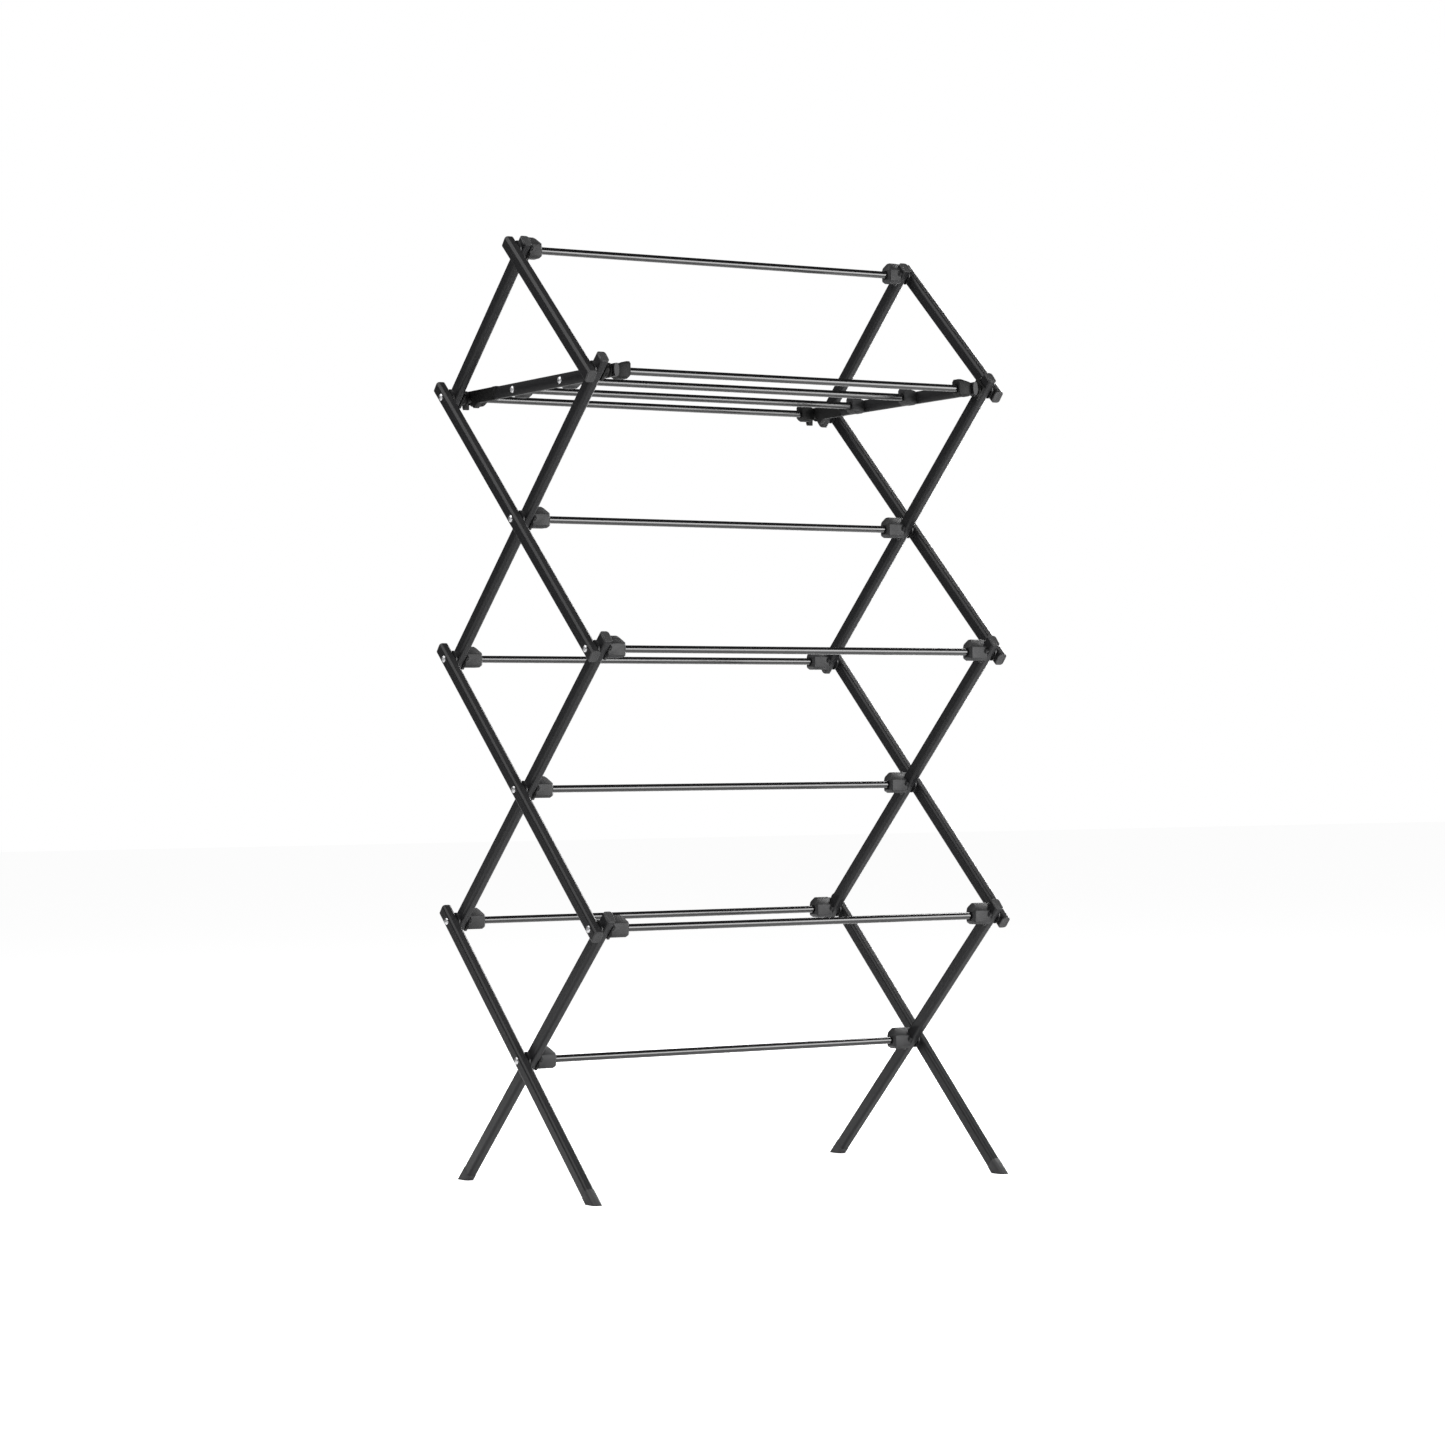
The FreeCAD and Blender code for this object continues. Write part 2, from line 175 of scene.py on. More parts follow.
def noise(tree, coordinates, detail, roughness):
    node = tree.nodes.new("ShaderNodeTexNoise")
    node.inputs["Detail"].default_value = detail
    node.inputs["Roughness"].default_value = roughness
    tree.links.new(coordinates, node.inputs["Vector"])
    return node


def math_node(tree, operation, first, second):
    """A Math node whose two inputs are either sockets or plain numbers."""
    node = tree.nodes.new("ShaderNodeMath")
    node.operation = operation
    for index, value in enumerate((first, second)):
        if isinstance(value, (int, float)):
            node.inputs[index].default_value = value
        else:
            tree.links.new(value, node.inputs[index])
    return node.outputs["Value"]


def ramp(tree, value, low, high):
    """Stretches a narrow band of a mask to the whole range from 0 to 1."""
    node = tree.nodes.new("ShaderNodeMapRange")
    node.interpolation_type = "SMOOTHSTEP"
    node.inputs["From Min"].default_value = low
    node.inputs["From Max"].default_value = high
    tree.links.new(value, node.inputs["Value"])
    return node.outputs["Result"]


# %% Relief group
def build_relief():
    """Pebbles of one size with finer grit on them, for coats and mould textures."""
    group, given, result = new_group("fine_relief", [("Pebble Scale", 900.0), ("Grit Amount", 0.3)],
                                     ["Height", "Speckle"])
    place = group.nodes.new("ShaderNodeTexCoord").outputs["Object"]
    pebble = noise(group, place, 1.0, 0.4)
    group.links.new(given.outputs["Pebble Scale"], pebble.inputs["Scale"])
    grit = noise(group, place, 2.0, 0.7)
    group.links.new(math_node(group, "MULTIPLY", given.outputs["Pebble Scale"], 2.7), grit.inputs["Scale"])
    fine = math_node(group, "MULTIPLY", grit.outputs["Fac"], given.outputs["Grit Amount"])
    group.links.new(math_node(group, "ADD", pebble.outputs["Fac"], fine), result.inputs["Height"])
    group.links.new(ramp(group, grit.outputs["Fac"], 0.56, 0.68), result.inputs["Speckle"])
    return group


# %% Handling marks and painted top light group
def build_handling_and_top_light():
    """Slow clouds, sparse scuffs along one direction, and painted light from above: a lighter tone on upward
    faces.
    """
    group, given, result = new_group("handling_marks_and_top_light", [("Cloud Scale", 9.0), ("Scuff Scale", 60.0)],
                                     ["Clouds", "Scuffs", "Painted Top Light"])
    place = group.nodes.new("ShaderNodeTexCoord").outputs["Object"]
    clouds = noise(group, place, 4.0, 0.55)
    group.links.new(given.outputs["Cloud Scale"], clouds.inputs["Scale"])
    group.links.new(ramp(group, clouds.outputs["Fac"], 0.3, 0.7), result.inputs["Clouds"])

    stretched = group.nodes.new("ShaderNodeMapping")
    stretched.inputs["Scale"].default_value = (0.12, 1.0, 1.0)
    group.links.new(place, stretched.inputs["Vector"])
    scuffs = noise(group, stretched.outputs["Vector"], 6.0, 0.75)
    group.links.new(given.outputs["Scuff Scale"], scuffs.inputs["Scale"])
    group.links.new(ramp(group, scuffs.outputs["Fac"], 0.62, 0.74), result.inputs["Scuffs"])

    # Painted light from above: faces that point up get a lighter tone, patchy by the clouds.
    up = group.nodes.new("ShaderNodeSeparateXYZ")
    group.links.new(group.nodes.new("ShaderNodeNewGeometry").outputs["Normal"], up.inputs["Vector"])
    facing_up = ramp(group, up.outputs["Z"], 0.35, 0.95)
    group.links.new(math_node(group, "MULTIPLY", facing_up, clouds.outputs["Fac"]), result.inputs["Painted Top Light"])
    return group


FINE_RELIEF = build_relief()
HANDLING_MARKS_AND_TOP_LIGHT = build_handling_and_top_light()
print("groups", [g.name for g in bpy.data.node_groups])

# %% [markdown]
# ## Finishes
# A finish is a base colour with lighter or darker patches and a painted light from above on upward faces,
# a gloss that varies about a mean, and a relief.
# One function builds them all from the two groups, so that each finish below is a handful of numbers that
# say how the real one differs from its neighbours.

# %% Finish builder
def place_group(tree, group, values):
    node = tree.nodes.new("ShaderNodeGroup")
    node.node_tree = group
    for label, value in values.items():
        node.inputs[label].default_value = value
    return node


def blend_colours(tree, mask, amount, first, second):
    """Mixes towards the second colour by a mask, at most by the amount."""
    mix = tree.nodes.new("ShaderNodeMix")
    mix.data_type = "RGBA"
    tree.links.new(math_node(tree, "MULTIPLY", mask, amount), mix.inputs["Factor"])
    if isinstance(first, tuple):
        mix.inputs["A"].default_value = (*first, 1)
    else:
        tree.links.new(first, mix.inputs["A"])
    mix.inputs["B"].default_value = (*second, 1)
    return mix.outputs["Result"]


def finish_material(name, colours, gloss, relief, handling, metallic=0.0, shine=0.5):
    """colours: base, cloud, speckle, and the painted top light for upward faces. gloss: mean roughness, its
    spread. relief: scale, grit, height.
    """
    base, cloud, speckle, painted_top_light = colours
    material = bpy.data.materials.new(name)
    material.use_nodes = True
    tree = material.node_tree
    shader = tree.nodes["Principled BSDF"]
    shader.inputs["Metallic"].default_value = metallic
    shader.inputs["Specular IOR Level"].default_value = shine

    grain = place_group(tree, FINE_RELIEF, {"Pebble Scale": relief[0], "Grit Amount": relief[1]})
    marks_and_top_light = place_group(tree, HANDLING_MARKS_AND_TOP_LIGHT, {"Cloud Scale": handling[0], "Scuff Scale": handling[1]})
    colour = blend_colours(tree, marks_and_top_light.outputs["Clouds"], 0.6, base, cloud)
    colour = blend_colours(tree, grain.outputs["Speckle"], 0.5, colour, speckle)
    # Painted light from above: upward faces are mixed towards the fourth, lighter colour.
    colour = blend_colours(tree, marks_and_top_light.outputs["Painted Top Light"], 0.25, colour, painted_top_light)
    tree.links.new(colour, shader.inputs["Base Color"])

    rough = math_node(tree, "ADD", math_node(tree, "MULTIPLY", marks_and_top_light.outputs["Clouds"], gloss[1]), gloss[0])
    rough = math_node(tree, "ADD", rough, math_node(tree, "MULTIPLY", marks_and_top_light.outputs["Scuffs"], gloss[1]))
    tree.links.new(rough, shader.inputs["Roughness"])

    bump = tree.nodes.new("ShaderNodeBump")
    bump.inputs["Strength"].default_value = 0.55
    bump.inputs["Distance"].default_value = relief[2]
    tree.links.new(grain.outputs["Height"], bump.inputs["Height"])
    tree.links.new(bump.outputs["Normal"], shader.inputs["Normal"])
    return material


# %% [markdown]
# The bars wear a charcoal powder coat with the faint orange peel of baked powder, and the rods a smoother,
# blacker one. The connectors and end caps are black plastic from a spark-eroded mould, which scatters light
# enough to turn upward facets grey. The hook ends, the tabs and the shelf's hubs come from a smoother mould
# and are the blackest. Screws are bright steel.

# %% Finishes
# In every list the fourth colour is the painted top light, mixed into upward faces as if lit from above.
BAR_COAT = finish_material("charcoal_powder_coat", [(0.016, 0.016, 0.017), (0.013, 0.013, 0.014),
                           (0.024, 0.024, 0.025), (0.050, 0.049, 0.047)],
                           (0.30, 0.04), (1100, 0.3, 0.00001), (7.0, 55.0), shine=0.22)
ROD_COAT = finish_material("black_rod_coat", [(0.006, 0.006, 0.0063), (0.008, 0.008, 0.0084),
                           (0.009, 0.009, 0.0095), (0.018, 0.0176, 0.017)],
                           (0.15, 0.02), (700, 0.15, 0.000002), (11.0, 70.0), shine=0.8)
MOULDED = finish_material("moulded_black_plastic", [(0.018, 0.018, 0.019), (0.014, 0.014, 0.015),
                          (0.034, 0.034, 0.035), (0.060, 0.059, 0.057)],
                          (0.50, 0.06), (1500, 0.6, 0.00005), (45.0, 140.0), shine=0.4)
CAP_PLASTIC = finish_material("end_cap_plastic", [(0.030, 0.030, 0.031), (0.022, 0.022, 0.023),
                              (0.070, 0.070, 0.072), (0.090, 0.089, 0.086)],
                              (0.55, 0.08), (1300, 0.8, 0.0001), (60.0, 160.0))
SMOOTH_PLASTIC = finish_material("smooth_black_plastic", [(0.006, 0.006, 0.006), (0.008, 0.008, 0.008),
                                 (0.012, 0.012, 0.012), (0.030, 0.029, 0.028)],
                                 (0.50, 0.05), (900, 0.2, 0.00002), (30.0, 120.0), shine=0.2)
STEEL = finish_material("bright_screw_steel", [(0.74, 0.74, 0.75), (0.62, 0.62, 0.64),
                        (0.85, 0.85, 0.86), (0.70, 0.69, 0.67)],
                        (0.42, 0.08), (2200, 0.3, 0.00002), (90.0, 500.0), metallic=1.0)
WASHER_NYLON = finish_material("washer_nylon", [(0.018, 0.018, 0.019), (0.026, 0.026, 0.027),
                               (0.040, 0.040, 0.041), (0.070, 0.069, 0.067)],
                               (0.42, 0.05), (1000, 0.3, 0.00004), (50.0, 150.0))

SLOT_FINISH = {"bar_coating": BAR_COAT, "rod_coating": ROD_COAT, "black_plastic": WASHER_NYLON,
               "bright_steel": STEEL}

# %% [markdown]
# ## Bars, rods and washers
# The tubes and rods are true as they come, so they keep their shapes and only get their finishes. Rebuilding
# them would add nothing that shows and could let them drift off their joints.

# %% Finishes on the frame's own parts
for part in frame["record"]["subparts"]:
    node = frame["nodes"][part["node"]]
    node.data.materials.clear()
    node.data.materials.append(SLOT_FINISH[part["material_slot"]])

# %% [markdown]
# ## Places on the frame
# Every fitting sits on a rod's axis or at a bar's end. The axes are read from the rods themselves, and the
# bars' lean from two of them, so nothing has to be measured twice.

# %% Pivots
PIVOT_RODS = {"top": "rod_top", "front_1": "rod_shelf_hinge", "back_1": "rod_shelf_catch"}
for level in (1, 2, 3):
    PIVOT_RODS[f"cross_{level}"] = f"rod_cross_{level}"
for level in (2, 3):
    PIVOT_RODS[f"front_{level}"] = f"rod_front_{level}"
    PIVOT_RODS[f"back_{level}"] = f"rod_back_{level}"


def rod_axis(node):
    low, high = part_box(node)
    return Vector((0, (low.y + high.y) / 2, (low.z + high.z) / 2))


PIVOT = {name: rod_axis(node) for name, node in PIVOT_RODS.items()}
reach = PIVOT["front_2"] - PIVOT["cross_2"]
LEAN = math.atan2(-reach.y, reach.z)
INNER_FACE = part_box("inner_bar_1_right")[0].x
INNER_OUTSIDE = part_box("inner_bar_1_right")[1].x
OUTER_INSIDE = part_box("outer_bar_1_right")[0].x
OUTER_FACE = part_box("outer_bar_1_right")[1].x
SHELF_IN, SHELF_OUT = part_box("shelf_bar_right")[0].x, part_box("shelf_bar_right")[1].x
SHELF_Z = PIVOT["front_1"].z
ROD_RADIUS = (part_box("rod_top")[1].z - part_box("rod_top")[0].z) / 2
print("lean", round(math.degrees(LEAN), 2), "bar faces", round(INNER_FACE, 4), round(OUTER_FACE, 4))

# %% [markdown]
# ## Workshop helpers
# The small parts are made as a model maker would: a block is sawn to an outline, drilled, joined, and its
# edges are broken. Each helper is one such step, done with Blender's own operators.

# %% Blocks and copies
MM = 0.001
FINE = 1e-6  # the smallest step that counts as one, a thousandth of a millimetre


def only(*objects):
    """Selects these objects and nothing else; the last one is active."""
    if bpy.context.mode != "OBJECT":
        bpy.ops.object.mode_set(mode="OBJECT")
    bpy.ops.object.select_all(action="DESELECT")
    for obj in objects:
        obj.select_set(True)
    bpy.context.view_layer.objects.active = objects[-1]


def block(name, low, high):
    """A block between two corners, in millimetres."""
    only(floor)
    low, high = Vector(low) * MM, Vector(high) * MM
    bpy.ops.mesh.primitive_cube_add(size=1, location=(low + high) / 2, scale=high - low)
    obj = bpy.context.active_object
    obj.name = obj.data.name = name
    bpy.ops.object.transform_apply(location=True, rotation=True, scale=True)
    return obj


def round_bar(name, radius, x0, x1, y=0.0, z=0.0, sides=48):
    """A round bar along X, in millimetres."""
    only(floor)
    bpy.ops.mesh.primitive_cylinder_add(vertices=sides, radius=radius * MM, depth=(x1 - x0) * MM,
                                        location=((x0 + x1) / 2 * MM, y * MM, z * MM),
                                        rotation=(0, math.pi / 2, 0))
    obj = bpy.context.active_object
    obj.name = obj.data.name = name
    bpy.ops.object.transform_apply(location=True, rotation=True, scale=True)
    return obj


def copy_of(master, name, shift=(0, 0, 0), turned=0.0):
    """A copy with its own mesh, turned about X and moved in that mesh."""
    obj = master.copy()
    obj.data = master.data.copy()
    obj.name = obj.data.name = name
    bpy.context.scene.collection.objects.link(obj)
    obj.location = shift
    obj.rotation_euler.x = turned
    only(obj)
    bpy.ops.object.transform_apply(location=True, rotation=True, scale=True)
    return obj


# %% Sawing, drilling and joining
def saw(obj, point, normal):
    """Cuts away what lies beyond a plane and closes the cut."""
    normal = normal.normalized()
    if max((v.co - point).dot(normal) for v in obj.data.vertices) < 10 * FINE:
        return
    only(obj)
    bpy.ops.object.mode_set(mode="EDIT")
    bpy.ops.mesh.select_all(action="SELECT")
    bpy.ops.mesh.bisect(plane_co=point, plane_no=normal, use_fill=True, clear_outer=True, threshold=FINE)
    bpy.ops.object.mode_set(mode="OBJECT")


def saw_outline(obj, outline, axes):
    """Saws a block to a convex outline in millimetres, drawn on two of its axes."""
    middle = Vector((sum(a for a, b in outline), sum(b for a, b in outline))) / len(outline)
    for (a0, b0), (a1, b1) in zip(outline, outline[1:] + outline[:1]):
        outward = Vector((b1 - b0, a0 - a1))
        if outward.dot(Vector((a0, b0)) - middle) < 0:
            outward.negate()
        point, normal = Vector((0, 0, 0)), Vector((0, 0, 0))
        point[axes[0]], point[axes[1]] = a0 * MM, b0 * MM
        normal[axes[0]], normal[axes[1]] = outward
        saw(obj, point, normal)


def apply_modifier(obj, kind, **settings):
    only(obj)
    modifier = obj.modifiers.new(kind.lower(), kind)
    for label, value in settings.items():
        setattr(modifier, label, value)
    bpy.ops.object.modifier_apply(modifier=modifier.name)


def combine(obj, tool, operation):
    """Joins a tool to a block, or cuts it out of the block, and puts the tool away."""
    apply_modifier(obj, "BOOLEAN", object=tool, operation=operation, solver="EXACT")
    bpy.data.objects.remove(tool)


# %% Edges, mirroring and hanging on the frame
def break_edges(obj, width, segments=2, sharpest=28):
    """Rounds every edge that turns by more than some degrees, then smooths the shading."""
    only(obj)
    bpy.ops.object.mode_set(mode="EDIT")
    bpy.ops.mesh.select_all(action="SELECT")
    bpy.ops.mesh.remove_doubles(threshold=10 * FINE)
    bpy.ops.mesh.dissolve_limited(angle_limit=math.radians(0.5))
    bpy.ops.object.mode_set(mode="OBJECT")
    apply_modifier(obj, "BEVEL", width=width * MM, segments=segments, limit_method="ANGLE",
                   angle_limit=math.radians(sharpest), use_clamp_overlap=True)
    only(obj)
    bpy.ops.object.mode_set(mode="EDIT")
    bpy.ops.mesh.select_all(action="SELECT")
    bpy.ops.mesh.remove_doubles(threshold=FINE / 10)
    bpy.ops.object.mode_set(mode="OBJECT")
    bpy.ops.object.shade_smooth_by_angle(angle=math.radians(35))


def both_sides(obj):
    """Adds the mirror image on the rack's other side."""
    apply_modifier(obj, "MIRROR", use_axis=(True, False, False), use_mirror_merge=False)
    only(obj)
    bpy.ops.object.mode_set(mode="EDIT")
    bpy.ops.mesh.select_all(action="SELECT")
    bpy.ops.mesh.normals_make_consistent(inside=False)
    bpy.ops.object.mode_set(mode="OBJECT")


def join(pieces, name):
    only(*pieces)
    if len(pieces) > 1:
        bpy.ops.object.join()
    obj = bpy.context.active_object
    obj.name = obj.data.name = name
    return obj


BODY_OF = {node: body for body, members in frame["record"]["behaviour"]["bodies"].items() for node in members}


def hang(obj, material, node):
    """Gives a finished piece its material and its body, and hides the node that it stands for."""
    obj.data.materials.clear()
    obj.data.materials.append(material)
    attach(obj, BODY_OF[node])
    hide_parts(node)
    print(f"{obj.name}: {len(obj.data.polygons)} faces for {node}")


def discard(*masters):
    for master in masters:
        bpy.data.objects.remove(master)

# %% [markdown]
# ## Rod connectors
# A connector is one moulding: a hooded block that grips the rod, and a saddle that hugs the bar. It could be
# drawn as one outline and extruded, but its hood slopes three ways, so a block is sawn to an end view, a
# front view and a plan instead, as the mould maker's drawing gives them. The saddle starts as a plate whose
# upper edge is pulled out round the bar. The union of both is bevelled, so that the inner corners get the
# fillet that a mould has.

# %% Outlines of the hooded block
END_VIEW = [(-12, -9), (-8, -13.2), (8, -13.2), (12, -9), (12, 13), (8, 19), (2, 19.5), (-3, 17), (-12, 7.6)]
FACE = INNER_FACE / MM
LONG, SHORT, SHELF = 30.5, 22.0, 22.0
WEDGE_HALF, WEDGE_BASE, WEDGE_TOP = 10.0, -12.0, 14.0
SOCKET, SOCKET_FLOOR = 26.0, 2.5
DRILL_FIT = 0.1


def hood(name, x_rod, x_back):
    """The block round the rod's axis, from the rod side to the bar side."""
    obj = block(name, (x_rod, -12, -13.2), (x_back, 12, 19.5))
    length = x_back - x_rod
    saw_outline(obj, END_VIEW, (1, 2))
    front_view = [(0, -8.2), (5, -13.2), (length, -13.2), (length, 20), (9.5, 20), (0, 7)]
    plan = [(0, -9), (3, -12), (length, -12), (length, 12), (3, 12), (0, 9)]
    saw_outline(obj, [(x_rod + a, b) for a, b in front_view], (0, 2))
    saw_outline(obj, [(x_rod + a, b) for a, b in plan], (0, 1))
    return obj


# %% Saddle round the bar
SADDLE_LIP, SADDLE_HALF, SADDLE_DEPTH = 3.2, 13.0, 4.0
BAR_THICK = (INNER_OUTSIDE - INNER_FACE) / MM
BAR_WIDTH = 20.5


def saddle():
    """A plate across the bar's inner face; its upper edge is pulled halfway round the bar."""
    edge = BAR_WIDTH / 2
    obj = block("saddle", (FACE - SADDLE_DEPTH, -edge, -SADDLE_HALF),
                (FACE + 0.1, edge + SADDLE_LIP, SADDLE_HALF))
    bpy.ops.object.mode_set(mode="EDIT")
    bpy.ops.mesh.select_all(action="SELECT")
    bpy.ops.mesh.bisect(plane_co=(0, (edge + 0.05) * MM, 0), plane_no=(0, 1, 0), threshold=FINE)
    bpy.ops.mesh.select_mode(type="FACE")
    bpy.ops.mesh.select_all(action="DESELECT")
    bpy.ops.object.mode_set(mode="OBJECT")
    for face in obj.data.polygons:
        face.select = face.normal.x > 0.9 and face.center.y > edge * MM
    bpy.ops.object.mode_set(mode="EDIT")
    bpy.ops.mesh.extrude_region_move(TRANSFORM_OT_translate={"value": (BAR_THICK / 2 * MM, 0, 0)})
    bpy.ops.object.mode_set(mode="OBJECT")
    obj.rotation_euler.x = LEAN
    bpy.ops.object.transform_apply(location=True, rotation=True, scale=True)
    return obj


# %% Socket for the rod
def drill_socket(obj, x_rod, depth):
    """A close hole for the rod, opened out at the mouth so that a dark ring shows round the rod."""
    combine(obj, round_bar("drill", ROD_RADIUS / MM + DRILL_FIT, x_rod - 1, x_rod + depth), "DIFFERENCE")
    combine(obj, round_bar("drill", ROD_RADIUS / MM + 1.0, x_rod - 1, x_rod + 1.6), "DIFFERENCE")


def wedge(name, x0, x1):
    """A block that rises to a beak over the rod, with a chin that tapers away below."""
    half, base, top = WEDGE_HALF, WEDGE_BASE, WEDGE_TOP
    obj = block(name, (x0, -half, base), (x1, half, top))
    saw_outline(obj, [(x0, base / 2), (x0 + 5, base), (x1 - 3, base), (x1, base + 3), (x1, top - 6),
                      (x1 - 4, top - 4), (x0 + 5, top), (x0, top)], (0, 2))
    saw_outline(obj, [(-half, base + 3), (3 - half, base), (half - 3, base), (half, base + 3),
                      (half, top - 3.5), (half - 3.5, top), (3.5 - half, top), (-half, top - 3.5)], (1, 2))
    return obj


def connector(length):
    x_rod = FACE - length
    obj = hood("connector", x_rod, FACE)
    combine(obj, saddle(), "UNION")
    drill_socket(obj, x_rod, min(SOCKET, length - SOCKET_FLOOR))
    break_edges(obj, 0.7)
    return obj


def low_connector():
    x_bar = SHELF_IN / MM
    obj = wedge("low_connector", x_bar - SHELF, x_bar)
    drill_socket(obj, x_bar - SHELF, SHELF - SOCKET_FLOOR)
    break_edges(obj, 0.7)
    return obj


long_connector = connector(LONG)
short_connector = connector(SHORT)
shelf_connector = low_connector()
print("connector masters", [len(o.data.polygons) for o in (long_connector, short_connector, shelf_connector)])

# %% Connectors on the lattice and the shelf
for name in ("top", "cross_1", "cross_2", "cross_3", "front_2", "front_3", "back_2", "back_3"):
    master = short_connector if name == "top" else long_connector
    piece = copy_of(master, f"moulded_connectors_{name}", PIVOT[name])
    both_sides(piece)
    hang(piece, MOULDED, f"connectors_{name}")

shelf_pair = [copy_of(shelf_connector, "shelf_pair", rod_axis(f"shelf_rod_{n}")) for n in (2, 3)]
piece = join(shelf_pair, "moulded_shelf_connectors")
both_sides(piece)
hang(piece, MOULDED, "shelf_connectors")
discard(long_connector, short_connector, shelf_connector)

# %% [markdown]
# ## Shelf hubs and collars
# At the shelf's two ends the rod runs through a ribbed boss, and the shelf's side bar turns on the boss's
# slim nose. It is a turned shape, so a short round bar is drawn out ring by ring, each ring extruded from the
# last and scaled to its radius. Spinning an outline would do as well, but this keeps the steps where they
# can be read off as a list. A wedge-shaped collar then holds the side bar on.

# %% Turning along X
def turn(name, profile, sides=48):
    """A turned solid along X from (x, radius) pairs in millimetres, drawn out from its first ring."""
    (x0, r0), (x1, _) = profile[0], profile[1]
    obj = round_bar(name, r0, x0, x1, sides=sides)
    radius, place = r0, x1
    bpy.ops.object.mode_set(mode="EDIT")
    bpy.ops.mesh.select_mode(type="FACE")
    bpy.ops.mesh.select_all(action="DESELECT")
    bpy.ops.object.mode_set(mode="OBJECT")
    for face in obj.data.polygons:
        face.select = face.normal.x > 0.9
    bpy.ops.object.mode_set(mode="EDIT")
    for x, r in profile[1:]:
        if x - place < 0.01:
            if abs(r - radius) > 0.01:
                bpy.ops.mesh.extrude_region_move(TRANSFORM_OT_translate={"value": (0, 0, 0)})
        else:
            bpy.ops.mesh.extrude_region_move(TRANSFORM_OT_translate={"value": ((x - place) * MM, 0, 0)})
        bpy.ops.transform.resize(value=(1, r / radius, r / radius), center_override=(x * MM, 0, 0))
        radius, place = r, x
    bpy.ops.object.mode_set(mode="OBJECT")
    return obj


# %% Hub and collar
NOSE, BOSS, RIB = 7.5, 9.0, 11.0
RIB_LENGTH = 3.0


def hub():
    start = SHELF_OUT / MM + 0.3
    profile = [(SHELF_IN / MM - 0.3, NOSE), (start, NOSE)]
    for rib in range(2):
        x = start + 2 * rib * RIB_LENGTH
        profile += [(x, RIB), (x + RIB_LENGTH, RIB), (x + RIB_LENGTH, BOSS), (x + 2 * RIB_LENGTH, BOSS)]
    obj = turn("hub", profile)
    combine(obj, saddle(), "UNION")
    combine(obj, round_bar("drill", ROD_RADIUS / MM + DRILL_FIT, SHELF_IN / MM - 2, FACE - 7), "DIFFERENCE")
    break_edges(obj, 0.5)
    return obj


def collar():
    x0, x1 = SHELF_IN / MM - SHELF, SHELF_IN / MM - 0.3
    obj = wedge("collar", x0, x1)
    combine(obj, round_bar("drill", ROD_RADIUS / MM + DRILL_FIT, x0 - 1, x1 + 1), "DIFFERENCE")
    combine(obj, round_bar("drill", ROD_RADIUS / MM + 1.0, x0 - 1, x0 + 1.4), "DIFFERENCE")
    break_edges(obj, 0.7)
    return obj


hub_master, collar_master = hub(), collar()
for name, title in (("front_1", "hinge"), ("back_1", "catch")):
    parts = [copy_of(master, "part", PIVOT[name]) for master in (hub_master, collar_master)]
    piece = join(parts, f"turned_{title}_hubs")
    both_sides(piece)
    hang(piece, SMOOTH_PLASTIC, f"shelf_{title}_hubs")
discard(hub_master, collar_master)

# %% [markdown]
# ## Hook ends of the shelf
# Each side bar ends in a plastic hook that drops over the back hub. The arm and the deeper jaw are two sawn
# blocks, joined, and the mouth is drilled and then opened downwards with a slanted wedge. A snap tab fills
# the notch in the bar's top, which is what keeps the hook from sliding out.

# %% Hook
HOOK_LENGTH, HOOK_LIP, HOOK_DROP, HOOK_SLANT = 86.0, 8.0, 17.0, math.radians(34)
ARM = 10.0
MOUTH = NOSE + 0.4


def hook():
    pin = PIVOT["back_1"].y / MM
    start, back = pin - HOOK_LENGTH, pin + MOUTH + HOOK_LIP
    x0, x1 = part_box("shelf_hooks")[1].x / MM - 8.4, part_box("shelf_hooks")[1].x / MM
    obj = block("hook", (x0, start, -ARM), (x1, pin - 34, ARM))
    panel_inset(obj, x1, 2.5, 1.2)
    jaw = block("jaw", (x0, pin - 34.5, -HOOK_DROP), (x1, back, ARM))
    saw_outline(jaw, [(pin - 34.5, -ARM), (pin - 24, -HOOK_DROP), (back - 2, -HOOK_DROP),
                      (back, -HOOK_DROP + 4), (back, ARM - 5), (back - 6, ARM), (pin - 34.5, ARM)], (1, 2))
    combine(obj, jaw, "UNION")
    combine(obj, round_bar("drill", MOUTH, x0 - 1, x1 + 1, y=pin), "DIFFERENCE")
    side, rise, drop = MOUTH * math.cos(HOOK_SLANT), MOUTH * math.sin(HOOK_SLANT), HOOK_DROP + 2
    opening = block("opening", (x0 - 1, pin - 40, -drop), (x1 + 1, pin + MOUTH + 1, rise))
    saw_outline(opening, [(pin - side, rise), (pin + MOUTH, 0), (pin + MOUTH + 1, -drop),
                          (pin - side - (drop + rise) * math.tan(HOOK_SLANT), -drop)], (1, 2))
    combine(obj, opening, "DIFFERENCE")
    break_edges(obj, 0.6)
    return obj


def panel_inset(obj, x_face, rim, depth):
    """Sinks a panel into the face that looks outwards at x_face."""
    only(obj)
    bpy.ops.object.mode_set(mode="EDIT")
    bpy.ops.mesh.select_mode(type="FACE")
    bpy.ops.mesh.select_all(action="DESELECT")
    bpy.ops.object.mode_set(mode="OBJECT")
    for face in obj.data.polygons:
        face.select = face.normal.x > 0.9 and abs(face.center.x - x_face * MM) < 0.01 * MM
    bpy.ops.object.mode_set(mode="EDIT")
    bpy.ops.mesh.inset(thickness=rim * MM, depth=-depth * MM)
    bpy.ops.object.mode_set(mode="OBJECT")


# %% Snap tab and placing
TAB_LENGTH, TAB_DEPTH, TAB_PROUD = 13.0, 12.5, 0.45


